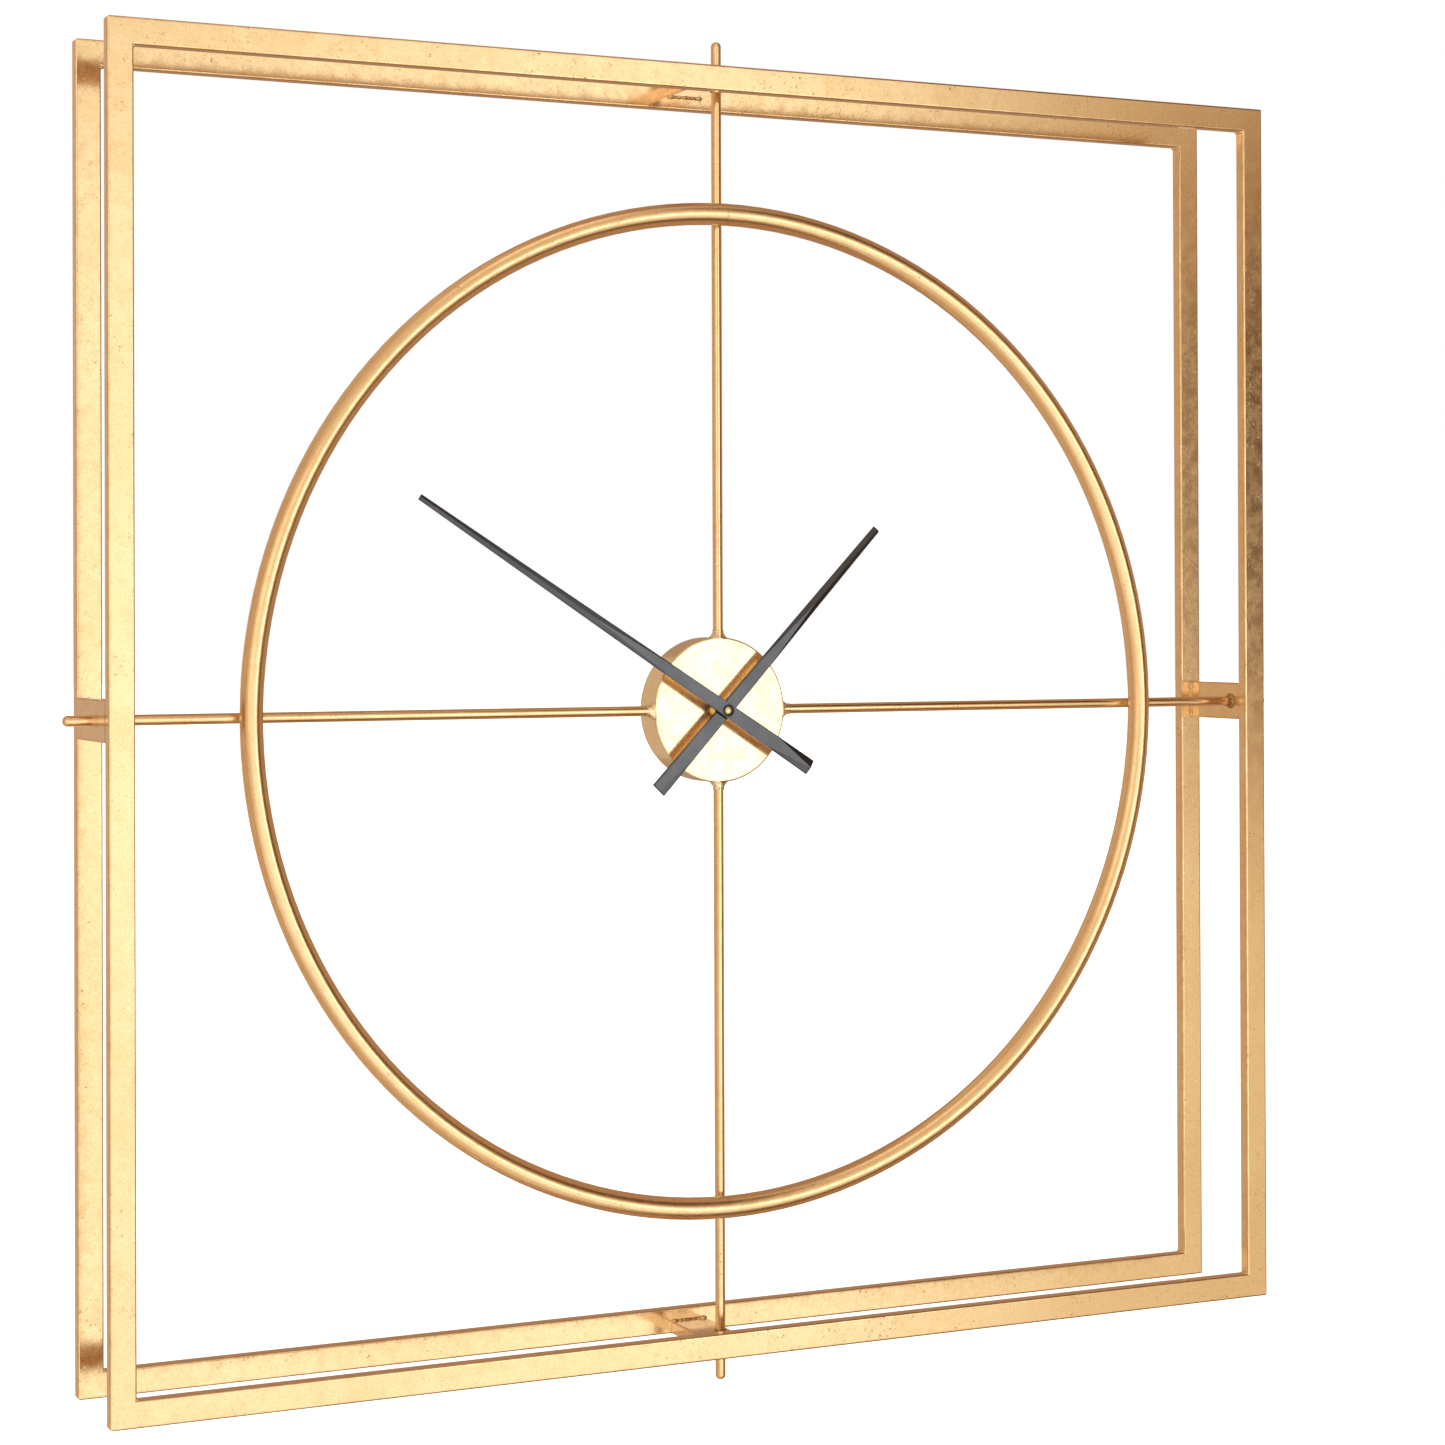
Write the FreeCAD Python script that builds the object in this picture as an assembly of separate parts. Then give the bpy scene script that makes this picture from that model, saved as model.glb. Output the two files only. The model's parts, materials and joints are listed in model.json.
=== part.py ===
import FreeCAD, Part
import math
import os

# Double-frame wall clock. All sizes are in millimetres.
# X is to the right as the clock is read, Y goes into the wall and Z is up.
# While the pieces are made, Z = 0 is the centre of the dial and Y = 0 is the wall.
# export() then lowers them, so that the origin is midway between the two hanging holes.

# Driving dimensions
side = 812.8              # outside of both square frames
depth = 80.0              # wall to the front of the front frame
bar_width = 16.0          # flat tube of the frames, as seen from the front
bar_depth = 8.0           # the same tube, front to back
bar_wall = 1.2
bar_edge = 1.2            # outer edge radius of the tube
corner_edge = 2.0         # ground corner of a welded frame
spacer_width = 25.0       # flat bar that joins the frames
spacer_thick = 8.0
spacer_edge = 0.8
rod_r = 3.175             # round bar that carries the ring and the hub
rod_setback = 19.2        # from the back of the front frame to the rods' axis
rod_overhang = 20.0       # rod beyond the outside of the frames
rod_tip = 2.9             # rounding of a rod's outer end
ring_mean_r = 315.0
ring_tube_r = 7.0
ring_wall = 1.2
ring_saddle = 0.4         # how deep the rods nest in the back of the ring
drum_r = 46.2
drum_depth = 21.0
drum_wall = 1.2
drum_edge = 1.0
drum_ahead = 2.8          # from the rods' axis forward to the drum's face
drum_cut_reach = 20.0     # how far the cuts round the drum reach either side of the rods' axis
weld_leg = 2.6
rod_weld_leg = 1.8        # weld where a rod enters its spacer

hole_spacing = 406.4      # hanging holes, centre to centre
hole_r = 4.5              # round entry of a keyhole
hole_slot_r = 2.3
hole_rise = 4.0           # from the entry's centre up to the slot's end arc
hole_low = 1.2            # entry's centre below the middle of the tube

case_size = 56.0          # quartz movement, square
case_depth = 16.5
case_wall = 1.0
case_front_wall = 1.2
case_corner = 3.0
cover_thick = 1.0
gasket_r = 10.0
gasket_thick = 1.0
washer_r = 6.75
washer_thick = 0.5
nut_thick = 3.0
nut_flats = 11.0
bushing_r = 4.0
bushing_reach = 7.5       # from the front of the case forward
hour_tube_r = 2.5
shaft_r = 1.5
fit = 0.05                # radial clearance of every running fit
arbor_r = 0.5
pivot_r = 0.3
pivot_length = 0.7
end_play = 0.1
stem_r = 1.0              # the setting knob's stem
shaft_pivot_r = 0.6
shaft_seat_r = 1.2        # under the hand nut
knob_r = 5.0
knob_grooves = 24
knob_groove_r = 0.5

hour_hand_y = 17.0        # middle of the hand behind the front of the clock
minute_hand_y = 13.8
hand_thick = 2.0
hand_flat = 38.0          # the hands are flat out to this distance from their axis
# Each hand: reach of the tip and the tail, half widths there, thickness left at the bevelled
# edges there, and the distance at which the ridge is complete
minute_arms = (247.4, 70.2, 1.75, 5.05, 1.6, 0.8, 110.0)
hour_arms = (160.4, 68.6, 2.5, 4.95, 0.8, 1.8, 93.0)
minute_angle = 302.4      # clockwise from twelve
hour_angle = 43.7
minute_collet_r = 3.7
hour_collet_r = 3.4
collet_flange_r = 4.6
hand_nut_r = 2.4
hand_nut_front = 11.4     # behind the front of the clock

# Gear teeth: pressure angle, thickness, wheel and pinion numbers, and modules
pressure_angle = math.radians(20)
tooth_share = 0.42        # tooth thickness over the tooth's pitch, on the pitch circle
addendum = 0.8            # both in modules
dedendum = 1.1
cannon_teeth = 12
minute_wheel_teeth = 36
minute_pinion_teeth = 10
hour_wheel_teeth = 40
motion_module = 0.5
centre_teeth = 64
third_pinion_teeth = 8
third_teeth = 60
seconds_pinion_teeth = 8
seconds_teeth = 48
step_pinion_teeth = 8
step_teeth = 40
rotor_pinion_teeth = 8
centre_module = 0.3
train_module = 0.25

# Derived places
half = side / 2
front_y = -depth
front_back_y = front_y + bar_depth
rear_front_y = -bar_depth
rod_y = front_back_y + rod_setback
ring_y = rod_y - rod_r - ring_tube_r + ring_saddle
drum_y = rod_y - drum_ahead
drum_back_y = drum_y + drum_depth
case_y = drum_y + drum_wall + gasket_thick
origin_z = half - bar_width / 2 - hole_low
seat_y = front_y + minute_hand_y + 0.2     # the hand nut clamps the minute hand's collet here
nut_front_y = front_y + hand_nut_front
shaft_tip_y = nut_front_y + 0.8
knob_y = case_y + case_depth + 0.3
knob_back_y = knob_y + 1.8
stem_end_y = case_y + case_depth + 1.6

motion_distance = motion_module * (cannon_teeth + minute_wheel_teeth) / 2
hour_module = 2 * motion_distance / (minute_pinion_teeth + hour_wheel_teeth)

x_axis = FreeCAD.Vector(1, 0, 0)
y_axis = FreeCAD.Vector(0, 1, 0)
z_axis = FreeCAD.Vector(0, 0, 1)
middle = FreeCAD.Vector(0, 0, 0)


def polar(start, distance, degrees):
    """The point at a distance and direction from another, in the plane of the dial."""
    angle = math.radians(degrees)
    return (start[0] + distance * math.cos(angle), start[1] + distance * math.sin(angle))


# Arbors of the movement, as (x, z) about the hands' axis
shaft_at = (0.0, 0.0)
minute_arbor = polar(shaft_at, motion_distance, 150)
third_arbor = polar(shaft_at, centre_module * (centre_teeth + third_pinion_teeth) / 2, 40)
seconds_arbor = polar(third_arbor, train_module * (third_teeth + seconds_pinion_teeth) / 2, 60)
step_arbor = polar(seconds_arbor, train_module * (seconds_teeth + step_pinion_teeth) / 2, 170)
rotor_arbor = polar(step_arbor, train_module * (step_teeth + rotor_pinion_teeth) / 2, 170)

# Depths of the movement's layers behind the front of its case: start and end
hour_layer = (2.3, 3.1)
minute_layer = (3.6, 4.4)
centre_layer = (5.0, 5.7)
third_layer = (6.4, 7.0)
seconds_layer = (7.7, 8.3)
step_layer = (9.0, 9.6)
rotor_layer = (10.2, 12.2)
stator_layer = (10.8, 11.6)
board_layer = (12.7, 13.5)
bridge_layer = (13.5, 14.4)

shelf_z = -10.9           # top of the wall between the wheels and the battery
battery_r = 7.2
battery_length = 49.5
battery_tip = 1.0
contact_thick = 0.3
coil_z = 24.0             # height of the coil above the hands' axis
coil_depth = 12.0         # its axis behind the front of the case
magnet_r = 3.0
stator_gap = 0.4          # between the magnet and the stator
stator_left = 15.0        # reach of the stator each side of the rotor
stator_right = 11.0
stator_bar = 7.8          # height of its bar
stator_tab = 4.0          # width of its two legs
core_half = 1.0           # half the width of the coil's core
post_r = 1.5              # bridge posts
post_x = 22.0
post_low, post_high = -7.0, 18.5


# Shapes that several pieces share

def vec(x, y, z):
    return FreeCAD.Vector(x, y, z)


def box(x0, x1, y0, y1, z0, z1):
    return Part.makeBox(x1 - x0, y1 - y0, z1 - z0, vec(x0, y0, z0))


def cylinder_y(x, z, radius, y0, y1):
    """A cylinder along Y from y0 to y1."""
    return Part.makeCylinder(radius, y1 - y0, vec(x, y0, z), y_axis)


def rounded_outline(centre, across, up, half_across, half_up, radius):
    """The closed outline of a rounded rectangle in the plane of two directions."""
    arcs = []
    for quarter, (a, b) in enumerate(((1, 1), (-1, 1), (-1, -1), (1, -1))):
        hub = centre + across * (a * (half_across - radius)) + up * (b * (half_up - radius))
        points = []
        for step in range(3):
            angle = math.pi / 2 * (quarter + step / 2)
            points.append(hub + across * (radius * math.cos(angle)) + up * (radius * math.sin(angle)))
        arcs.append(points)
    edges = []
    for index, points in enumerate(arcs):
        edges.append(Part.Arc(points[0], points[1], points[2]).toShape())
        edges.append(Part.makeLine(points[2], arcs[(index + 1) % 4][0]))
    return Part.Wire(edges)


def rounded_plate(x, z, half_x, half_z, radius, y0, y1):
    """A plate with rounded corners, facing along Y."""
    wire = rounded_outline(vec(x, y0, z), x_axis, z_axis, half_x, half_z, radius)
    return Part.Face(wire).extrude(vec(0, y1 - y0, 0))


def plate(points, y0, y1):
    """A flat plate with straight sides, from its corners (x, z)."""
    corners = [vec(x, y0, z) for x, z in points]
    return Part.Face(Part.makePolygon(corners + corners[:1])).extrude(vec(0, y1 - y0, 0))


def turned(profile):
    """A solid of revolution about the hands' axis, from corners (radius, y)."""
    corners = [vec(radius, y, 0) for radius, y in profile]
    face = Part.Face(Part.makePolygon(corners + corners[:1]))
    return face.revolve(middle, y_axis, 360)


def quarter_turns(shape):
    """Copies of a piece at the top, right, bottom and left of the dial."""
    names = ("top", "right", "bottom", "left")
    pieces = {}
    for index, name in enumerate(names):
        piece = shape.copy()
        piece.rotate(middle, y_axis, 90 * index)
        pieces[name] = piece
    return pieces


def in_case(layer):
    """Start and end of a layer of the movement, along Y."""
    return case_y + layer[0], case_y + layer[1]


def group(solids):
    return Part.makeCompound(solids)


def export(name, shape):
    """Writes one piece, with the origin moved to the middle of the hanging holes."""
    placed = shape.copy()
    placed.translate(vec(0, 0, -origin_z))
    if not placed.isValid():
        raise ValueError(name + " is not a valid solid")
    placed.exportStep("parts/" + name + ".step")
    print(name, "solids", len(placed.Solids), "volume", round(placed.Volume, 2))


# Frames, spacers, rods, ring and hub

def frame_bar(y0):
    """The top tube of a frame, hollow and mitred, with ground outer corners."""
    start = vec(-half, y0 + bar_depth / 2, half - bar_width / 2)
    outer = rounded_outline(start, y_axis, z_axis, bar_depth / 2, bar_width / 2, bar_edge)
    bore = rounded_outline(
        start, y_axis, z_axis, bar_depth / 2 - bar_wall, bar_width / 2 - bar_wall, bar_edge / 4
    )
    tube = Part.Face(outer).extrude(vec(side, 0, 0)).cut(Part.Face(bore).extrude(vec(side, 0, 0)))
    wedge = plate([(0, 0), (side, side), (-side, side)], y0 - 1, y0 + bar_depth + 1)
    ground = rounded_plate(0, 0, half, half, corner_edge, y0 - 1, y0 + bar_depth + 1)
    return tube.common(wedge).common(ground)


def keyhole(x):
    """The cutter for one hanging hole in the back wall of the rear top tube."""
    z = half - bar_width / 2 - hole_low
    y0, y1 = -bar_wall - 0.5, 1.0
    entry = cylinder_y(x, z, hole_r, y0, y1)
    arc = cylinder_y(x, z + hole_rise, hole_slot_r, y0, y1)
    slot = box(x - hole_slot_r, x + hole_slot_r, y0, y1, z, z + hole_rise)
    return entry.fuse(slot).fuse(arc).removeSplitter()


def make_frames():
    for name, bar in quarter_turns(frame_bar(front_y)).items():
        export("front_frame_" + name, bar)
    for name, bar in quarter_turns(frame_bar(rear_front_y)).items():
        if name == "top":
            for x in (-hole_spacing / 2, hole_spacing / 2):
                bar = bar.cut(keyhole(x))
        export("rear_frame_" + name, bar)


def rod_blank(clearance):
    """The top rod without its ends, from the middle of the dial."""
    return Part.makeCylinder(rod_r + clearance, half + rod_overhang, vec(0, rod_y, 0), z_axis)


def make_spacers():
    length = rear_front_y - front_back_y
    centre = vec(0, front_back_y, half - spacer_thick / 2)
    outline = rounded_outline(
        centre, x_axis, z_axis, spacer_width / 2, spacer_thick / 2, spacer_edge
    )
    bar = Part.Face(outline).extrude(vec(0, length, 0)).cut(rod_blank(fit))
    for name, spacer in quarter_turns(bar).items():
        export("spacer_" + name, spacer)


def make_rods():
    rod = rod_blank(0)
    end = [edge for edge in rod.Edges if edge.CenterOfMass.z > half + rod_overhang - 0.1]
    rod = rod.makeFillet(rod_tip, end[:1])
    rod = rod.cut(cylinder_y(0, 0, drum_r, rod_y - drum_cut_reach, rod_y + drum_cut_reach))
    for name, piece in quarter_turns(rod).items():
        export("rod_" + name, piece)


def make_ring():
    """The dial ring: two half hoops of round tube that meet above and below the hub."""
    torus = Part.makeTorus(ring_mean_r, ring_tube_r, vec(0, ring_y, 0), y_axis)
    bore = Part.makeTorus(ring_mean_r, ring_tube_r - ring_wall, vec(0, ring_y, 0), y_axis)
    reach = ring_mean_r + 2 * ring_tube_r
    rods = list(quarter_turns(rod_blank(0)).values())
    for name, x0, x1 in (("left", -reach, 0), ("right", 0, reach)):
        space = box(x0, x1, ring_y - 20, ring_y + 20, -reach, reach)
        hoop = torus.common(space).cut(bore.common(space))
        for rod in rods:
            hoop = hoop.cut(rod)
        export("ring_half_" + name, hoop)


def make_drum():
    """The hub: a spun steel cup, open at the back, with a hole for the movement."""
    cup = cylinder_y(0, 0, drum_r, drum_y, drum_back_y)
    rim = [
        edge
        for edge in cup.Edges
        if abs(edge.CenterOfMass.y - drum_y) < 0.1 and abs(edge.Length - 2 * math.pi * drum_r) < 0.1
    ]
    cup = cup.makeFillet(drum_edge, rim)
    hollow = cylinder_y(0, 0, drum_r - drum_wall, drum_y + drum_wall, drum_back_y + 1)
    cup = cup.cut(hollow).cut(cylinder_y(0, 0, bushing_r + 2 * fit, drum_y - 1, drum_y + 5))
    export("hub_drum", cup)


def weld_collar(base_z, facing, leg):
    """A cone of weld round the top rod, wide at base_z and thin away from it."""
    wide, thin = rod_r + leg, rod_r + 0.2
    cone = Part.makeCone(wide, thin, leg, vec(0, rod_y, base_z), z_axis * facing)
    return cone.cut(rod_blank(0))


def make_welds():
    sunk = drum_r - 1.0       # the collar starts inside the drum and is trimmed to its wall
    proud = 0.4               # weld left standing in front of the drum's face
    collar = weld_collar(sunk, 1, weld_leg + 1.0)
    collar = collar.cut(cylinder_y(0, 0, drum_r, rod_y - drum_cut_reach, rod_y + drum_cut_reach))
    collar = collar.common(
        box(-drum_cut_reach, drum_cut_reach, drum_y - proud, rod_y + drum_cut_reach, 0, half)
    )
    export("hub_welds", group(list(quarter_turns(collar).values())))
    collar = weld_collar(half - spacer_thick, -1, rod_weld_leg)
    export("rod_welds", group(list(quarter_turns(collar).values())))
    z = half - spacer_thick
    run = spacer_width / 2 - spacer_edge
    beads = []
    for y, facing in ((front_back_y, 1), (rear_front_y, -1)):
        corners = [vec(-run, y, z), vec(-run, y + facing * weld_leg, z), vec(-run, y, z - weld_leg)]
        bead = Part.Face(Part.makePolygon(corners + corners[:1])).extrude(vec(2 * run, 0, 0))
        beads.extend(quarter_turns(bead).values())
    export("spacer_welds", group(beads))


# Gears of the motion work and the train

def gear(at, teeth, module, layer, point_at, gap):
    """A gear with involute teeth. A tooth, or a gap, points in the given direction."""
    pitch_r = teeth * module / 2
    base_r = pitch_r * math.cos(pressure_angle)
    radii = (pitch_r - dedendum * module, pitch_r, pitch_r + addendum * module)
    at_pitch = tooth_share * math.pi / teeth + math.tan(pressure_angle) - pressure_angle
    halves = []
    for radius in radii:
        pressure = math.acos(min(1.0, base_r / radius))
        involute = math.tan(pressure) - pressure
        halves.append(at_pitch - involute)
    start = math.radians(point_at) + (math.pi / teeth if gap else 0)
    points = []
    for tooth in range(teeth):
        middle_angle = start + 2 * math.pi * tooth / teeth
        for radius, turn in zip(radii, halves):
            points.append((radius, middle_angle - turn))
        for radius, turn in zip(reversed(radii), reversed(halves)):
            points.append((radius, middle_angle + turn))
    y0, y1 = in_case(layer)
    return plate([(at[0] + r * math.cos(a), at[1] + r * math.sin(a)) for r, a in points], y0, y1)


def direction(start, end):
    return math.degrees(math.atan2(end[1] - start[1], end[0] - start[0]))


def meshing(driver_at, driver_teeth, driven_at, driven_teeth, module, wheel_layer, pinion_layer):
    """Two gears in mesh: a tooth of the first lies in a gap of the second."""
    towards = direction(driver_at, driven_at)
    first = gear(driver_at, driver_teeth, module, wheel_layer, towards, False)
    second = gear(driven_at, driven_teeth, module, pinion_layer, towards + 180, True)
    return first, second


def arbor(at):
    """A wheel's arbor, with thin pivots in the front of the case and in the bridge."""
    shoulder_front = case_y + case_front_wall + end_play
    shoulder_back = case_y + bridge_layer[0] - end_play
    rod = cylinder_y(at[0], at[1], arbor_r, shoulder_front, shoulder_back)
    pivots = cylinder_y(at[0], at[1], pivot_r, shoulder_front - pivot_length, shoulder_back + pivot_length)
    return rod.fuse(pivots)


def on_arbor(at, *gears):
    """A wheel and its pinion, or one pinion, in one piece with their arbor."""
    return arbor(at).fuse(list(gears)).removeSplitter()


def thicker(layer):
    """A pinion's layer: a little more than its wheel's."""
    return layer[0] - 0.1, layer[1] + 0.1


def make_train():
    centre, third_pinion = meshing(
        shaft_at, centre_teeth, third_arbor, third_pinion_teeth,
        centre_module, centre_layer, thicker(centre_layer),
    )
    third, seconds_pinion = meshing(
        third_arbor, third_teeth, seconds_arbor, seconds_pinion_teeth,
        train_module, third_layer, thicker(third_layer),
    )
    seconds, step_pinion = meshing(
        seconds_arbor, seconds_teeth, step_arbor, step_pinion_teeth,
        train_module, seconds_layer, thicker(seconds_layer),
    )
    step, rotor_pinion = meshing(
        step_arbor, step_teeth, rotor_arbor, rotor_pinion_teeth,
        train_module, step_layer, thicker(step_layer),
    )
    hub_wall, hub_extra = 1.1, 0.5
    y0, y1 = in_case((centre_layer[0], centre_layer[1] + hub_extra))
    hub = cylinder_y(0, 0, shaft_r + hub_wall, y0, y1)
    bore = cylinder_y(0, 0, shaft_r + fit, y0 - 1, y1 + 1)
    export("centre_wheel", centre.fuse(hub).cut(bore).removeSplitter())
    export("third_wheel", on_arbor(third_arbor, third, third_pinion))
    export("seconds_wheel", on_arbor(seconds_arbor, seconds, seconds_pinion))
    export("step_wheel", on_arbor(step_arbor, step, step_pinion))
    export("rotor_pinion", on_arbor(rotor_arbor, rotor_pinion))
    y0, y1 = in_case(rotor_layer)
    x, z = rotor_arbor
    magnet = cylinder_y(x, z, magnet_r, y0, y1)
    export("rotor_magnet", magnet.cut(cylinder_y(x, z, arbor_r, y0 - 1, y1 + 1)))


def make_motion_work():
    cannon, minute_wheel = meshing(
        shaft_at, cannon_teeth, minute_arbor, minute_wheel_teeth,
        motion_module, thicker(minute_layer), minute_layer,
    )
    hour_wheel, minute_pinion = meshing(
        shaft_at, hour_wheel_teeth, minute_arbor, minute_pinion_teeth,
        hour_module, hour_layer, (hour_layer[0] - 0.1, minute_layer[0]),
    )
    back_y = case_y + bridge_layer[0] - end_play
    shaft = cylinder_y(0, 0, shaft_r, seat_y, back_y)
    shaft = shaft.fuse(cylinder_y(0, 0, shaft_seat_r, shaft_tip_y, seat_y))
    shaft = shaft.fuse(cylinder_y(0, 0, shaft_pivot_r, back_y, back_y + pivot_length))
    export("minute_shaft", shaft.fuse(cannon).removeSplitter())
    tube_y = front_y + hour_hand_y - hand_thick / 2
    disc_y0, disc_y1 = in_case(hour_layer)
    tube = cylinder_y(0, 0, hour_tube_r, tube_y, disc_y0)
    bore = cylinder_y(0, 0, shaft_r + fit, tube_y - 1, disc_y1 + 1)
    export("hour_wheel", hour_wheel.fuse(tube).cut(bore).removeSplitter())
    x, z = minute_arbor
    shoulder_y = case_y + case_front_wall + end_play
    stem = cylinder_y(x, z, stem_r, shoulder_y, stem_end_y)
    pivot = cylinder_y(x, z, arbor_r, shoulder_y - pivot_length, shoulder_y)
    export("minute_wheel", minute_wheel.fuse(minute_pinion).fuse(stem).fuse(pivot).removeSplitter())


def make_knob():
    """The ribbed setting knob on the back of the movement."""
    x, z = minute_arbor
    knob = cylinder_y(x, z, knob_r, knob_y, knob_back_y)
    for index in range(knob_grooves):
        groove = polar((x, z), knob_r + knob_groove_r / 2, 360 / knob_grooves * index)
        knob = knob.cut(cylinder_y(groove[0], groove[1], knob_groove_r, case_y, drum_back_y))
    export("setting_knob", knob.cut(cylinder_y(x, z, stem_r, case_y, stem_end_y)))


# The movement around the gears

def case_block(y0, y1, inset):
    """A block with the movement's square outline, drawn in by the inset."""
    reach = case_size / 2 - inset
    return rounded_plate(0, 0, reach, reach, case_corner - inset, y0, y1)


def make_case():
    y0, y1 = in_case((0, case_depth - cover_thick))
    shell = case_block(y0, y1, 0).cut(case_block(y0 + case_front_wall, y1 + 1, case_wall))
    inner = case_size / 2 - case_wall
    shelf = box(-inner, inner, y0 + case_front_wall, y1, shelf_z - case_wall, shelf_z)
    shell = shell.fuse(shelf).removeSplitter()
    shell = shell.cut(cylinder_y(0, 0, bushing_r, y0 - 1, y0 + 5))
    floor_y = y0 + case_front_wall
    socket_y = floor_y - 0.8
    for x, z in (third_arbor, seconds_arbor, step_arbor, rotor_arbor):
        shell = shell.cut(cylinder_y(x, z, pivot_r + fit, socket_y, floor_y + 1))
    shell = shell.cut(cylinder_y(minute_arbor[0], minute_arbor[1], arbor_r + fit, socket_y, floor_y + 1))
    export("movement_case", shell)


def make_cover():
    y0, y1 = in_case((case_depth - cover_thick, case_depth))
    reach = case_size / 2
    lid = case_block(y0, y1, 0).common(box(-reach, reach, y0, y1, shelf_z - case_wall, reach))
    lid = lid.cut(cylinder_y(minute_arbor[0], minute_arbor[1], stem_r + fit, y0 - 1, y1 + 1))
    export("movement_cover", lid)


def make_bridge():
    """The plate that carries the back pivots, on four posts from the front of the case."""
    y0, y1 = in_case(bridge_layer)
    margin = 2.0
    middle_z = (post_low + post_high) / 2
    half_up = (post_high - post_low) / 2 + 2.4
    bridge = rounded_plate(0, middle_z, post_x + margin, half_up, margin, y0, y1)
    floor_y = case_y + case_front_wall
    for x in (-post_x, post_x):
        for z in (post_low, post_high):
            bridge = bridge.fuse(cylinder_y(x, z, post_r, floor_y, y0))
    pad_z = rotor_arbor[1] - 1
    for x in (rotor_arbor[0] - 9.5, rotor_arbor[0] + 9.0):
        bridge = bridge.fuse(cylinder_y(x, pad_z, 1.0, case_y + stator_layer[1], y0))
    for x, z in (third_arbor, seconds_arbor, step_arbor, rotor_arbor):
        bridge = bridge.cut(cylinder_y(x, z, pivot_r + fit, y0 - 1, y1 + 1))
    bridge = bridge.cut(cylinder_y(0, 0, shaft_pivot_r + fit, y0 - 1, y1 + 1))
    bridge = bridge.cut(cylinder_y(minute_arbor[0], minute_arbor[1], stem_r + fit, y0 - 1, y1 + 1))
    export("train_bridge", bridge.removeSplitter())


def make_mounting():
    """Threaded bushing, rubber gasket, brass washer and nut that hold the movement."""
    floor_y = case_y + case_front_wall
    tip_y = case_y - bushing_reach
    flange, chamfer = 1.5, 0.4
    bushing = turned([
        (hour_tube_r + fit, tip_y),
        (bushing_r - chamfer, tip_y),
        (bushing_r, tip_y + chamfer),
        (bushing_r, floor_y),
        (bushing_r + flange, floor_y),
        (bushing_r + flange, floor_y + 0.8),
        (hour_tube_r + fit, floor_y + 0.8),
    ])
    export("mounting_bushing", bushing)
    gasket = cylinder_y(0, 0, gasket_r, case_y - gasket_thick, case_y)
    bore = cylinder_y(0, 0, bushing_r, drum_y - 20, case_y + 1)
    export("rubber_gasket", gasket.cut(bore))
    washer_y = drum_y - washer_thick
    export("brass_washer", cylinder_y(0, 0, washer_r, washer_y, drum_y).cut(bore))
    corner = nut_flats / 2 / math.cos(math.pi / 6)
    outline = [polar((0, 0), corner, 60 * index + 30) for index in range(6)]
    nut_y = washer_y - nut_thick
    nut = plate(outline, nut_y, washer_y)
    shoulder_y = washer_y - nut_thick * 2 / 3
    chamfer = Part.makeCone(nut_flats / 2, corner + 0.2, shoulder_y - nut_y, vec(0, nut_y, 0), y_axis)
    rounded = chamfer.fuse(cylinder_y(0, 0, corner + 1, shoulder_y, washer_y))
    export("mounting_nut", nut.common(rounded).cut(bore))


def make_motor():
    """The stepping motor: stator, coil core, bobbin and winding."""
    y0, y1 = in_case(stator_layer)
    x, z = rotor_arbor
    left, right = x - stator_left, x + stator_right
    low, high = z - stator_bar / 2, z + stator_bar / 2
    top = coil_z + core_half
    stator = plate([
        (left, low), (right, low), (right, top), (right - stator_tab, top),
        (right - stator_tab, high), (left + stator_tab, high), (left + stator_tab, top), (left, top),
    ], y0, y1)
    stator = stator.cut(cylinder_y(x, z, magnet_r + stator_gap, y0 - 1, y1 + 1))
    stator = stator.cut(cylinder_y(step_arbor[0], step_arbor[1], arbor_r + stator_gap, y0 - 1, y1 + 1))
    export("motor_stator", stator)
    core = box(left, right, y1, y1 + 0.8, coil_z - core_half, coil_z + core_half)
    export("coil_core", core)
    make_coil(left + stator_tab + 0.4, right - stator_tab - 0.4, core)


def make_coil(left, right, core):
    """The bobbin that slides on the core, and its winding."""
    y = case_y + coil_depth
    flange, flange_half, neck_half, winding_r = 0.6, 2.5, 1.6, 2.3
    neck = box(left, right, y - 1.0, y + 1.0, coil_z - neck_half, coil_z + neck_half)
    spool = neck
    for start in (left, right - flange):
        cheek = box(
            start, start + flange, y - flange_half, y + flange_half,
            coil_z - flange_half, coil_z + flange_half,
        )
        spool = spool.fuse(cheek)
    export("coil_bobbin", spool.cut(core).removeSplitter())
    length = right - left - 2 * flange
    winding = Part.makeCylinder(winding_r, length, vec(left + flange, y, coil_z), x_axis)
    export("coil_winding", winding.cut(neck))


def make_electronics():
    """The circuit board, the epoxy drop over its chip, and the crystal in its can."""
    y0, y1 = in_case(board_layer)
    left, right, low, high = -26.4, -17.0, -3.0, 14.0
    x = (left + right) / 2
    export("circuit_board", box(left, right, y0, y1, low, high))
    drop_r, drop_height, drop_z = 4.0, 1.1, 9.0
    drop = Part.makeSphere(drop_r, vec(x, y0 + drop_r - drop_height, drop_z))
    export("chip_cover", drop.common(box(left, right, y0 - drop_height - 1, y0, low, high + drop_r)))
    can_r, can_length, can_z = 1.0, 6.0, -2.0
    export("quartz_crystal", Part.makeCylinder(can_r, can_length, vec(x, y0 - can_r, can_z), z_axis))


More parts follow.
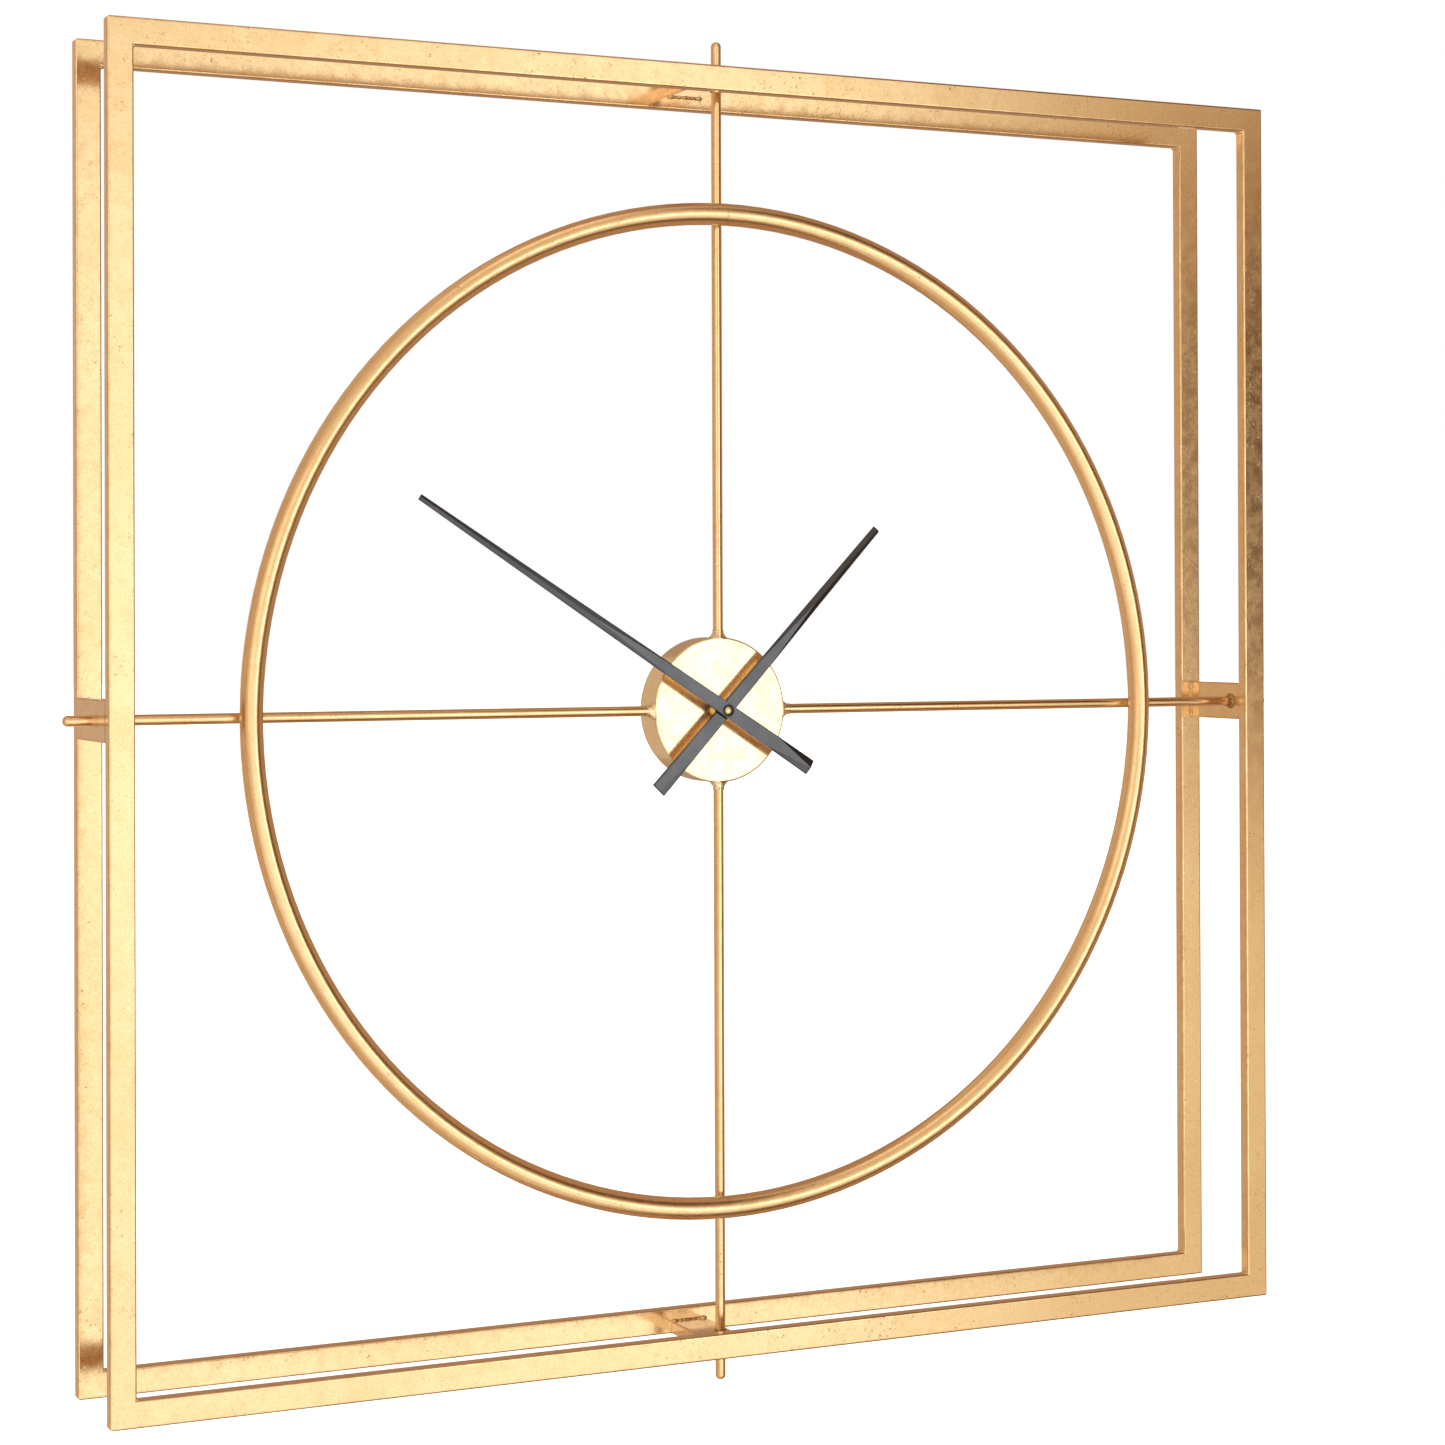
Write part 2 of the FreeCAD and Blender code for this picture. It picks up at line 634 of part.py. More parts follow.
def make_battery():
    """The AA cell, its flat positive contact and its bent negative one."""
    inner = case_size / 2 - case_wall
    z = (shelf_z - case_wall - inner) / 2
    y = case_y + case_front_wall + 0.1 + battery_r
    button_r = 2.7
    tip_x = inner - contact_thick
    body_x = tip_x - battery_tip - battery_length
    cell = Part.makeCylinder(battery_r, battery_length, vec(body_x, y, z), x_axis)
    button = Part.makeCylinder(button_r, battery_length + battery_tip, vec(body_x, y, z), x_axis)
    cell = cell.fuse(button)
    export("battery_aa", cell.removeSplitter())
    export("contact_positive", box(tip_x, inner, y - 4, y + 5, z - 4, z + 4))
    leaf = [
        (-inner, y - 5), (-inner + contact_thick, y - 5), (-inner + contact_thick, y + 2),
        (body_x, y - 2), (body_x, y - 1.6), (-inner + contact_thick, y + 2.8),
        (-inner + contact_thick, y + 5), (-inner, y + 5),
    ]
    corners = [vec(px, py, z - 3) for px, py in leaf]
    spring = Part.Face(Part.makePolygon(corners + corners[:1])).extrude(vec(0, 0, 6))
    export("contact_negative", spring)


# Hands

def hand_section(along, half_width, flat, edge, y_back):
    """One cross-section of a hand that points up: a bar with its front edges bevelled."""
    ridge_y = y_back - hand_thick
    edge_y = y_back - edge
    return Part.makePolygon([
        vec(-half_width, y_back, along),
        vec(-half_width, edge_y, along),
        vec(-flat, ridge_y, along),
        vec(flat, ridge_y, along),
        vec(half_width, edge_y, along),
        vec(half_width, y_back, along),
        vec(-half_width, y_back, along),
    ])


def hand_blank(arms, y_middle):
    """A tapered hand: flat about the hub, then a ridge with a bevel on each side along its arms."""
    tip, tail, tip_half, tail_half, tip_edge, tail_edge, ridge_from = arms
    y_back = front_y + y_middle + hand_thick / 2
    sliver = 0.05             # least width of a flat, and least height of a bevel
    stations = (
        (-tail, sliver, tail_edge),
        (-hand_flat, None, hand_thick - sliver),
        (hand_flat, None, hand_thick - sliver),
        (ridge_from, sliver, tip_edge),
        (tip, sliver, tip_edge),
    )
    sections = []
    for along, flat, edge in stations:
        share = (along + tail) / (tip + tail)
        half_width = tail_half + (tip_half - tail_half) * share
        if flat is None:
            flat = half_width - sliver
        sections.append(hand_section(along, half_width, flat, edge, y_back))
    return Part.makeLoft(sections, True, True), y_back


def make_hands():
    blank, y_back = hand_blank(hour_arms, hour_hand_y)
    hand = blank.cut(cylinder_y(0, 0, hour_collet_r, y_back - 10, y_back + 10))
    hand.rotate(middle, y_axis, hour_angle)
    export("hour_hand", hand)
    recess_y = y_back - hand_thick + 0.3
    collet = turned([
        (hour_tube_r, recess_y), (hour_collet_r, recess_y), (hour_collet_r, y_back),
        (collet_flange_r, y_back), (collet_flange_r, y_back + 0.7), (hour_tube_r, y_back + 0.7),
    ])
    export("hour_collet", collet)
    blank, y_back = hand_blank(minute_arms, minute_hand_y)
    hand = blank.cut(cylinder_y(0, 0, minute_collet_r, y_back - 10, y_back + 10))
    hand.rotate(middle, y_axis, minute_angle)
    export("minute_hand", hand)
    collet = turned([
        (shaft_r, seat_y), (minute_collet_r, seat_y), (minute_collet_r, y_back),
        (collet_flange_r, y_back), (collet_flange_r, y_back + 0.4), (shaft_r, y_back + 0.4),
    ])
    export("minute_collet", collet)
    rim = 0.4
    nut = turned([
        (0, nut_front_y), (hand_nut_r - rim, nut_front_y), (hand_nut_r, nut_front_y + rim),
        (hand_nut_r, seat_y), (shaft_seat_r, seat_y), (shaft_seat_r, shaft_tip_y), (0, shaft_tip_y),
    ])
    export("hand_nut", nut)


os.makedirs("parts", exist_ok=True)
make_frames()
make_spacers()
make_rods()
make_ring()
make_drum()
make_welds()
make_case()
make_cover()
make_bridge()
make_mounting()
make_train()
make_motion_work()
make_knob()
make_motor()
make_electronics()
make_battery()
make_hands()
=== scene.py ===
import json
import math
import random

import bmesh
import bpy
from mathutils import Matrix, Vector, noise


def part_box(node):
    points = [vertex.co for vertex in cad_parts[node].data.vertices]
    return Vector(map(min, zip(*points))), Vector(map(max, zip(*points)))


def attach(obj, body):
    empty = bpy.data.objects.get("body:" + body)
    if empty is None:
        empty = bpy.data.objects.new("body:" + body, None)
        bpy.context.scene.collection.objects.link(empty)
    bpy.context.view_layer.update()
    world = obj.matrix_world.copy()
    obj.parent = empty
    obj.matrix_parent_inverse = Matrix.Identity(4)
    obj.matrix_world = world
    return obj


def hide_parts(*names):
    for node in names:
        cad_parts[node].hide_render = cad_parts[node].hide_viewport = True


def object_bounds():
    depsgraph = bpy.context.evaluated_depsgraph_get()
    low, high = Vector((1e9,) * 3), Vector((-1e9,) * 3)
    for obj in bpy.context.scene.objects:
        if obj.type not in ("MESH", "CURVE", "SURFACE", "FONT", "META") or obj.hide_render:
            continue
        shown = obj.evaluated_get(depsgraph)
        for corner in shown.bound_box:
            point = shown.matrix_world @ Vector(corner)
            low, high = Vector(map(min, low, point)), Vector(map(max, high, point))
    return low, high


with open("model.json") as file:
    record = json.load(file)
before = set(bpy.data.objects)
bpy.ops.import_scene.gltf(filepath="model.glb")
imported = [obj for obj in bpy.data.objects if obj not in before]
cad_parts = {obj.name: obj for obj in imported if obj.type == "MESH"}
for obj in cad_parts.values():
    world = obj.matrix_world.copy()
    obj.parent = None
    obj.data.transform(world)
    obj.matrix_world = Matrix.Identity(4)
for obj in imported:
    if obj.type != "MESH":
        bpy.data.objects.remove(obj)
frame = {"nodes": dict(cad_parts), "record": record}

# Wall clock of two gilded square frames with a dial ring, a hub and two hands.
# Metres, +Z up, wall at Y = 0.
random.seed(7)
noise.seed_set(7)  # without a seed, the noise vectors follow the clock
scene = bpy.context.scene
nodes = frame["nodes"]
mm = 0.001
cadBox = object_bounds()
drumLow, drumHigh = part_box("hub_drum")
dial = (drumLow + drumHigh) / 2
dial.y = 0


# Node and mesh helpers

def feed(tree, socket, value):
    # a socket takes a link or a plain value
    if isinstance(value, bpy.types.NodeSocket):
        tree.links.new(value, socket)
    else:
        socket.default_value = value


def addNode(tree, kind, inputs=None, **settings):
    node = tree.nodes.new(kind)
    for name, value in settings.items():
        setattr(node, name, value)
    for name, value in (inputs or {}).items():
        feed(tree, node.inputs[name], value)
    return node


def mathNode(tree, operation, first, second=0.0, third=0.0, clamp=False):
    node = addNode(tree, "ShaderNodeMath", operation=operation, use_clamp=clamp)
    for socket, value in zip(node.inputs, (first, second, third)):
        feed(tree, socket, value)
    return node.outputs[0]


def weightedSum(tree, *terms):
    # each term is a value and its weight
    value, weight = terms[0]
    total = mathNode(tree, "MULTIPLY", value, weight)
    for value, weight in terms[1:]:
        total = mathNode(tree, "MULTIPLY_ADD", value, weight, total)
    return total


def mixColour(tree, share, first, second):
    # the colour sockets of this node are its seventh and eighth
    node = addNode(tree, "ShaderNodeMix", data_type="RGBA")
    for index, value in ((0, share), (6, first), (7, second)):
        feed(tree, node.inputs[index], value)
    return node.outputs[2]


def mixShader(tree, share, first, second):
    node = addNode(tree, "ShaderNodeMixShader", {"Fac": share})
    tree.links.new(first, node.inputs[1])
    tree.links.new(second, node.inputs[2])
    return node.outputs[0]


def remap(tree, value, low, high, newLow=0.0, newHigh=1.0):
    inputs = {"Value": value, "From Min": low, "From Max": high, "To Min": newLow, "To Max": newHigh}
    return addNode(tree, "ShaderNodeMapRange", inputs, interpolation_type="SMOOTHSTEP").outputs["Result"]


def objectCoords(tree):
    return addNode(tree, "ShaderNodeTexCoord").outputs["Object"]


def noiseAt(tree, coords, scale, detail=4.0, roughness=0.55):
    inputs = {"Vector": coords, "Scale": scale, "Detail": detail, "Roughness": roughness}
    return addNode(tree, "ShaderNodeTexNoise", inputs).outputs["Fac"]


def noiseBand(tree, coords, scale, detail, roughness, low, high, newLow=0.0):
    # noise with the values between low and high spread out
    return remap(tree, noiseAt(tree, coords, scale, detail, roughness), low, high, newLow)


def newGroup(name, inputs, outputs):
    tree = bpy.data.node_groups.new(name, "ShaderNodeTree")
    for label, kind, value in inputs:
        socket = tree.interface.new_socket(name=label, in_out="INPUT", socket_type=kind)
        socket.default_value = value
    for label, kind in outputs:
        tree.interface.new_socket(name=label, in_out="OUTPUT", socket_type=kind)
    return tree, tree.nodes.new("NodeGroupInput").outputs, tree.nodes.new("NodeGroupOutput").inputs


def useGroup(tree, group, **values):
    node = tree.nodes.new("ShaderNodeGroup")
    node.node_tree = group
    for label, value in values.items():
        node.inputs[label].default_value = value
    return node.outputs


def meshPiece(name, bm, body, slot, smooth=True, more=()):
    # more holds the slots whose finish is used beside the piece's own
    bmesh.ops.recalc_face_normals(bm, faces=bm.faces)
    mesh = bpy.data.meshes.new(name)
    bm.to_mesh(mesh)
    bm.free()
    for polygon in mesh.polygons:
        polygon.use_smooth = smooth
    piece = bpy.data.objects.new(name, mesh)
    scene.collection.objects.link(piece)
    for label in (slot, *more):
        mesh.materials.append(finish[label])
    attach(piece, body)
    return piece


def spinProfile(bm, corners, steps, centre, axis=(0, 1, 0)):
    # corners are (radius, distance along the axis), closed on the axis or back on themselves
    across = Vector((1, 0, 0)) if abs(axis[0]) < 0.5 else Vector((0, 0, 1))
    verts = [bm.verts.new(across * radius + Vector(axis) * along) for radius, along in corners]
    edges = [bm.edges.new(pair) for pair in zip(verts, verts[1:])]
    bmesh.ops.spin(
        bm, geom=verts + edges, cent=(0, 0, 0), axis=axis, dvec=(0, 0, 0),
        angle=2 * math.pi, steps=steps, use_merge=True, use_duplicate=False,
    )
    bmesh.ops.remove_doubles(bm, verts=bm.verts, dist=1e-7)
    bmesh.ops.translate(bm, verts=bm.verts, vec=Vector(centre))


def autoSmooth(piece, degrees):
    piece.data.shade_smooth()
    piece.data.set_sharp_from_angle(angle=math.radians(degrees))


# Effects that several finishes share

# scale, detail, roughness, then the band that is spread out
leafNoise = {
    "clouds": (16.0, 3.0, 0.55, 0.35, 0.68),
    "mottling": (120.0, 6.0, 0.65, 0.38, 0.66),
    "seamBreaks": (60.0, 4.0, 0.55, 0.42, 0.6),
    "specks": (480.0, 3.0, 0.7, 0.62, 0.7),
    "patches": (30.0, 3.0, 0.6, 0.45, 0.65),
}
leafShape = {
    "grainScale": 700.0, "grainBand": (0.35, 0.62), "leavesPerMetre": 13.0, "overlapWidth": (0.002, 0.014),
    "patchFloor": 0.15,
}


def makeLeafGroup():
    # gold leaf: broad clouds, fine mottling, faint overlaps of the leaves, pits and specks
    inputs = [
        ("Pale", "NodeSocketColor", (1.0, 0.66, 0.3, 1)),
        ("Deep", "NodeSocketColor", (0.9, 0.48, 0.16, 1)),
        ("Stain", "NodeSocketColor", (0.25, 0.1, 0.03, 1)),
        ("Mottle", "NodeSocketFloat", 0.6),
        ("Overlap", "NodeSocketFloat", 0.3),
        ("Specks", "NodeSocketFloat", 0.5),
        ("Gloss", "NodeSocketFloat", 0.3),
    ]
    outputs = [
        ("Colour", "NodeSocketColor"),
        ("Roughness", "NodeSocketFloat"),
        ("Height", "NodeSocketFloat"),
    ]
    tree, given, result = newGroup("goldLeaf", inputs, outputs)
    coords = objectCoords(tree)
    clouds = noiseBand(tree, coords, *leafNoise["clouds"])
    mottling = noiseBand(tree, coords, *leafNoise["mottling"])
    grain = noiseAt(tree, coords, leafShape["grainScale"], 4.0, 0.65)
    leaves = addNode(
        tree, "ShaderNodeTexVoronoi", {"Vector": coords, "Scale": leafShape["leavesPerMetre"]},
        feature="DISTANCE_TO_EDGE",
    )
    seam = remap(tree, leaves.outputs["Distance"], *leafShape["overlapWidth"], 1.0, 0.0)
    brokenSeam = mathNode(tree, "MULTIPLY", seam, noiseBand(tree, coords, *leafNoise["seamBreaks"]))
    overlap = mathNode(tree, "MULTIPLY", brokenSeam, given["Overlap"])
    specks = noiseBand(tree, coords, *leafNoise["specks"])
    patches = noiseBand(tree, coords, *leafNoise["patches"], leafShape["patchFloor"])
    speckMask = mathNode(tree, "MULTIPLY", mathNode(tree, "MULTIPLY", specks, patches), given["Specks"])
    grainMask = remap(tree, grain, *leafShape["grainBand"])
    depth = weightedSum(tree, (clouds, 0.25), (mottling, 0.3), (grainMask, 0.45))
    share = mathNode(tree, "MULTIPLY", depth, given["Mottle"], clamp=True)
    colour = mixColour(tree, share, given["Pale"], given["Deep"])
    colour = mixColour(tree, overlap, colour, given["Deep"])
    colour = mixColour(tree, speckMask, colour, given["Stain"])
    rough = mathNode(tree, "MULTIPLY_ADD", mottling, 0.06, given["Gloss"])
    rough = mathNode(tree, "MULTIPLY_ADD", speckMask, 0.3, rough)
    height = weightedSum(tree, (grain, 0.5), (mottling, 0.25), (speckMask, -1.5), (overlap, 0.8))
    tree.links.new(colour, result["Colour"])
    tree.links.new(rough, result["Roughness"])
    tree.links.new(height, result["Height"])
    return tree


# the edge is where the rounded normal leaves the true one, from the first cosine to the second
edgeMarkShape = {"rounding": 6, "edgeBand": (0.996, 0.93), "breakBand": (0.36, 0.62)}


def makeEdgeMarkGroup():
    # a mask that is 1 on outer edges, broken up by noise; it marks rubbed wear, and on the gilding also
    # painted edge shade
    inputs = [
        ("Width", "NodeSocketFloat", 0.0009),
        ("Amount", "NodeSocketFloat", 0.6),
        ("Breakup", "NodeSocketFloat", 70.0),
    ]
    tree, given, result = newGroup("edgeMarks", inputs, [("Mask", "NodeSocketFloat")])
    bevel = addNode(tree, "ShaderNodeBevel", {"Radius": given["Width"]}, samples=edgeMarkShape["rounding"])
    dot = addNode(tree, "ShaderNodeVectorMath", operation="DOT_PRODUCT")
    tree.links.new(bevel.outputs[0], dot.inputs[0])
    tree.links.new(addNode(tree, "ShaderNodeNewGeometry").outputs["Normal"], dot.inputs[1])
    edge = remap(tree, dot.outputs["Value"], *edgeMarkShape["edgeBand"])
    coords = objectCoords(tree)
    broken = noiseBand(tree, coords, given["Breakup"], 5.0, 0.7, *edgeMarkShape["breakBand"])
    mask = mathNode(tree, "MULTIPLY", mathNode(tree, "MULTIPLY", edge, broken), given["Amount"], clamp=True)
    tree.links.new(mask, result["Mask"])
    return tree


seamShape = {"wanderScale": 260.0, "wander": 1.0 * mm}


def makeSeamGroup():
    # a mask along the mitres of the square frames
    inputs = [("Width", "NodeSocketFloat", 0.0006)]
    tree, given, result = newGroup("mitreSeam", inputs, [("Mask", "NodeSocketFloat")])
    coords = objectCoords(tree)
    split = addNode(tree, "ShaderNodeSeparateXYZ", {"Vector": coords})
    across = mathNode(tree, "ABSOLUTE", split.outputs["X"])
    up = mathNode(tree, "ABSOLUTE", mathNode(tree, "SUBTRACT", split.outputs["Z"], dial.z))
    wobble = noiseAt(tree, coords, seamShape["wanderScale"])
    wander = mathNode(tree, "MULTIPLY_ADD", wobble, seamShape["wander"], -seamShape["wander"] / 2)
    offset = mathNode(tree, "ADD", mathNode(tree, "SUBTRACT", across, up), wander)
    near = mathNode(tree, "DIVIDE", mathNode(tree, "ABSOLUTE", offset), given["Width"])
    tree.links.new(remap(tree, near, 0.0, 1.0, 1.0, 0.0), result["Mask"])
    return tree


leafGroup = makeLeafGroup()
edgeMarkGroup = makeEdgeMarkGroup()
seamGroup = makeSeamGroup()
print("shared effects ready")


# Finishes

def startMaterial(name):
    material = bpy.data.materials.new(name)
    material.use_nodes = True
    tree = material.node_tree
    return material, tree, tree.nodes["Principled BSDF"]


def bumpInto(tree, shader, height, depth):
    bump = addNode(tree, "ShaderNodeBump", {"Height": height, "Distance": depth, "Strength": 1.0})
    tree.links.new(bump.outputs["Normal"], shader.inputs["Normal"])


# gold seen in other gold is calmed, so that facing pieces don't deepen each other to red
gilding = {
    # the worn colour is a dark brown for the edges: part rubbed wear, part painted shade along the rounded
    # edges
    "wearAndShadeWidth": 2.2 * mm, "wornAndShaded": (0.3, 0.13, 0.045, 1),
    "seamWidth": 0.9 * mm, "seam": (0.45, 0.22, 0.08, 1), "seamShare": 0.05, "seamDepth": -0.15,
    "clearOfSeam": 6.0 * mm, "mirrored": (0.8, 0.66, 0.52, 1), "mirroredShare": 0.75,
}


def gildedMetal(name, leaf, edgeMarkAmount=0.5, seams=False, depth=0.000022, metallic=1.0):
    material, tree, shader = startMaterial(name)
    shader.inputs["Metallic"].default_value = metallic
    surface = useGroup(tree, leafGroup, **leaf)
    wornAndShaded = useGroup(tree, edgeMarkGroup, Amount=edgeMarkAmount, Width=gilding["wearAndShadeWidth"])["Mask"]
    colour, height = surface["Colour"], surface["Height"]
    if seams:
        # the dark edge colour, part wear and part painted edge shade, would darken the inner ends of the
        # mitres, so it stays clear of them
        nearSeam = useGroup(tree, seamGroup, Width=gilding["clearOfSeam"])["Mask"]
        wornAndShaded = mathNode(tree, "MULTIPLY", wornAndShaded, mathNode(tree, "SUBTRACT", 1.0, nearSeam), clamp=True)
        seam = useGroup(tree, seamGroup, Width=gilding["seamWidth"])["Mask"]
        stained = mathNode(tree, "MULTIPLY", seam, gilding["seamShare"])
        colour = mixColour(tree, stained, colour, gilding["seam"])
        height = mathNode(tree, "MULTIPLY_ADD", seam, gilding["seamDepth"], height)
    # painted edge shade mixed with rubbed wear: the rounded edges are darkened to brown
    colour = mixColour(tree, wornAndShaded, colour, gilding["wornAndShaded"])
    rough = mathNode(tree, "MULTIPLY_ADD", wornAndShaded, 0.2, surface["Roughness"])
    mirrored = addNode(tree, "ShaderNodeLightPath").outputs["Is Glossy Ray"]
    calm = mathNode(tree, "MULTIPLY", mirrored, gilding["mirroredShare"])
    tree.links.new(mixColour(tree, calm, colour, gilding["mirrored"]), shader.inputs["Base Color"])
    tree.links.new(rough, shader.inputs["Roughness"])
    bumpInto(tree, shader, height, depth)
    return material


def plainFinish(name, colour, roughness, metallic=0.0, grain=600.0, depth=0.00003, variation=0.15, edgeMarkAmount=0.0):
    # moulded plastic, rubber or bare metal, with grain, slight shading and rubbed edges
    material, tree, shader = startMaterial(name)
    coords = objectCoords(tree)
    broad = noiseBand(tree, coords, grain / 12, 3.0, 0.55, 0.3, 0.7)
    fine = noiseAt(tree, coords, grain, 5.0, 0.65)
    darker = tuple(c * (1 - variation) for c in colour) + (1,)
    mixed = mixColour(tree, broad, tuple(colour) + (1,), darker)
    if edgeMarkAmount:
        mask = useGroup(tree, edgeMarkGroup, Amount=edgeMarkAmount, Width=0.4 * mm)["Mask"]
        lighter = tuple(min(1.0, c * 2.2 + 0.05) for c in colour) + (1,)
        mixed = mixColour(tree, mask, mixed, lighter)
    roughSpread = 0.16
    rough = mathNode(tree, "MULTIPLY_ADD", fine, roughSpread, roughness - roughSpread / 2)
    tree.links.new(mixed, shader.inputs["Base Color"])
    tree.links.new(rough, shader.inputs["Roughness"])
    shader.inputs["Metallic"].default_value = metallic
    bumpInto(tree, shader, fine, depth)
    return material


lacquer = {
    "pale": (0.098, 0.09, 0.092, 1), "deep": (0.083, 0.077, 0.078, 1), "edge": (0.02, 0.02, 0.022, 1),
    "edgeWidth": 1.4 * mm, "bareBrass": (0.75, 0.55, 0.32, 1), "backBand": (0.7, 0.9), "gloss": 0.14,
}


def handFinish():
    # charcoal lacquer on the front and sides; the side towards the wall is left as bare brass
    material, tree, shader = startMaterial("charcoalHand")
    coords = objectCoords(tree)
    fine = noiseAt(tree, coords, 700.0, 4.0, 0.6)
    broad = noiseBand(tree, coords, 45.0, 3.0, 0.55, 0.35, 0.65)
    colour = mixColour(tree, broad, lacquer["pale"], lacquer["deep"])
    edge = useGroup(tree, edgeMarkGroup, Amount=1.0, Width=lacquer["edgeWidth"], Breakup=15.0)["Mask"]
    colour = mixColour(tree, edge, colour, lacquer["edge"])
    normal = addNode(tree, "ShaderNodeNewGeometry").outputs["Normal"]
    facing = addNode(tree, "ShaderNodeSeparateXYZ", {"Vector": normal}).outputs["Y"]
    colour = mixColour(tree, remap(tree, facing, *lacquer["backBand"]), colour, lacquer["bareBrass"])
    tree.links.new(colour, shader.inputs["Base Color"])
    tree.links.new(mathNode(tree, "MULTIPLY_ADD", fine, 0.1, lacquer["gloss"]), shader.inputs["Roughness"])
    shader.inputs["Metallic"].default_value = 0.95
    bumpInto(tree, shader, fine, 0.00002)
    return material


wire = {"gap": (0.2, 0.05, 0.02, 1), "crest": (0.75, 0.3, 0.12, 1), "turns": 1600.0}


def windingFinish():
    # fine enamelled wire wound round an axis along X
    material, tree, shader = startMaterial("enamelledCopper")
    inputs = {"Vector": objectCoords(tree), "Scale": wire["turns"], "Distortion": 0.6}
    turns = addNode(tree, "ShaderNodeTexWave", inputs, bands_direction="X").outputs["Fac"]
    tree.links.new(mixColour(tree, turns, wire["gap"], wire["crest"]), shader.inputs["Base Color"])
    shader.inputs["Metallic"].default_value = 0.9
    shader.inputs["Roughness"].default_value = 0.3
    bumpInto(tree, shader, turns, 0.00005)
    return material


board = {
    "Scale": 260.0, "Color1": (0.01, 0.09, 0.03, 1), "Color2": (0.012, 0.11, 0.035, 1),
    "Mortar": (0.06, 0.3, 0.1, 1), "Mortar Size": 0.06,
}


def boardFinish():
    # green board with pale tracks under the mask
    material, tree, shader = startMaterial("circuitBoard")
    tracks = addNode(tree, "ShaderNodeTexBrick", {"Vector": objectCoords(tree), **board})
    tree.links.new(tracks.outputs["Color"], shader.inputs["Base Color"])
    shader.inputs["Roughness"].default_value = 0.35
    bumpInto(tree, shader, tracks.outputs["Fac"], 0.00003)
    return material


leafFinish = {
    "gold_leaf": {
        "Pale": (1.0, 0.67, 0.36, 1), "Deep": (0.86, 0.52, 0.23, 1),
        "Mottle": 1.0, "Gloss": 0.12, "Specks": 0.75,
    },
    "ring_gold": {
        "Pale": (1.0, 0.66, 0.35, 1), "Deep": (0.92, 0.53, 0.23, 1),
        "Mottle": 0.8, "Gloss": 0.21, "Overlap": 0.2,
    },
    "hub_gold": {
        "Pale": (1.0, 0.78, 0.5, 1), "Deep": (0.96, 0.64, 0.3, 1),
        "Mottle": 0.7, "Gloss": 0.16, "Specks": 0.15,
    },
    "weld_brown": {
        "Pale": (0.7, 0.4, 0.17, 1), "Deep": (0.3, 0.13, 0.05, 1),
        "Mottle": 1.0, "Gloss": 0.36, "Specks": 1.0,
    },
}
finish = {
    "gold_leaf": gildedMetal("goldLeafFrame", leafFinish["gold_leaf"], 0.8, seams=True),
    "ring_gold": gildedMetal("goldLeafRing", leafFinish["ring_gold"], 0.3, depth=0.000016),
    "hub_gold": gildedMetal("goldLeafHub", leafFinish["hub_gold"], 0.8, depth=0.000014, metallic=0.9),
    "weld_brown": gildedMetal("weldedGold", leafFinish["weld_brown"], 0.6, depth=0.0001),
    "hand_black": handFinish(),
    "collet_black": plainFinish("blackenedBrass", (0.02, 0.02, 0.02), 0.35, metallic=0.6),
    "brass": plainFinish("turnedBrass", (0.95, 0.7, 0.32), 0.2, metallic=1.0, grain=1500.0, depth=0.00001),
    "rubber": plainFinish("blackRubber", (0.02, 0.02, 0.02), 0.75),
    "case_plastic": plainFinish(
        "caseSparkBlack", (0.018, 0.018, 0.02), 0.5, grain=1400.0, depth=0.00006, edgeMarkAmount=0.35,
    ),
    "knob_plastic": plainFinish("knobBlack", (0.03, 0.03, 0.033), 0.4, grain=1400.0, edgeMarkAmount=0.4),
    "bridge_plastic": plainFinish("naturalPlastic", (0.62, 0.61, 0.56), 0.45, grain=900.0),
    "gear_plastic": plainFinish("acetalGears", (0.78, 0.76, 0.68), 0.28, grain=900.0, variation=0.08),
    "magnet": plainFinish("sinteredMagnet", (0.06, 0.06, 0.065), 0.4, metallic=0.8, grain=2500.0),
    "stator_steel": plainFinish(
        "punchedIron", (0.42, 0.42, 0.43), 0.35, metallic=1.0, grain=1200.0, edgeMarkAmount=0.3,
    ),
    "copper": windingFinish(),
    "board": boardFinish(),
    "epoxy": plainFinish("blackEpoxy", (0.012, 0.012, 0.012), 0.2, grain=300.0),
    "crystal_can": plainFinish("tinnedCan", (0.75, 0.75, 0.76), 0.18, metallic=1.0, grain=1500.0),
    "battery_sleeve": plainFinish("batterySleeve", (0.03, 0.075, 0.09), 0.3, grain=500.0, depth=0.00001),
    "contact_steel": plainFinish("springSteel", (0.68, 0.66, 0.62), 0.22, metallic=1.0, grain=1600.0),
}
for part in frame["record"]["subparts"]:
    slots = nodes[part["node"]].data.materials
    slots.clear()
    slots.append(finish[part["material_slot"]])
print("finishes ready:", len(finish))


# Weld metal

rodLow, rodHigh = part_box("rod_top")
rodMiddle = (rodLow.y + rodHigh.y) / 2
spacerLow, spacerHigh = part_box("spacer_top")
collar = {
    "rodRadius": 3.175 * mm, "skin": 0.15 * mm, "steps": 40, "rows": 6, "flare": 2.2,
    "lump": 0.5 * mm, "lumpScale": 1.1 * mm,
    "hubLeg": 3.0 * mm, "hubSink": 0.9 * mm, "hubReach": 5.0 * mm, "drumFront": 0.3 * mm,
    "rodLeg": 2.0 * mm, "rodSink": 0.1 * mm, "rodReach": 4.4 * mm,
}


def addBlob(bm, place, size, stretch, fineness=2):
    made = bmesh.ops.create_icosphere(bm, subdivisions=fineness, radius=size)
    bmesh.ops.scale(bm, verts=made["verts"], vec=stretch)
    bmesh.ops.translate(bm, verts=made["verts"], vec=place)


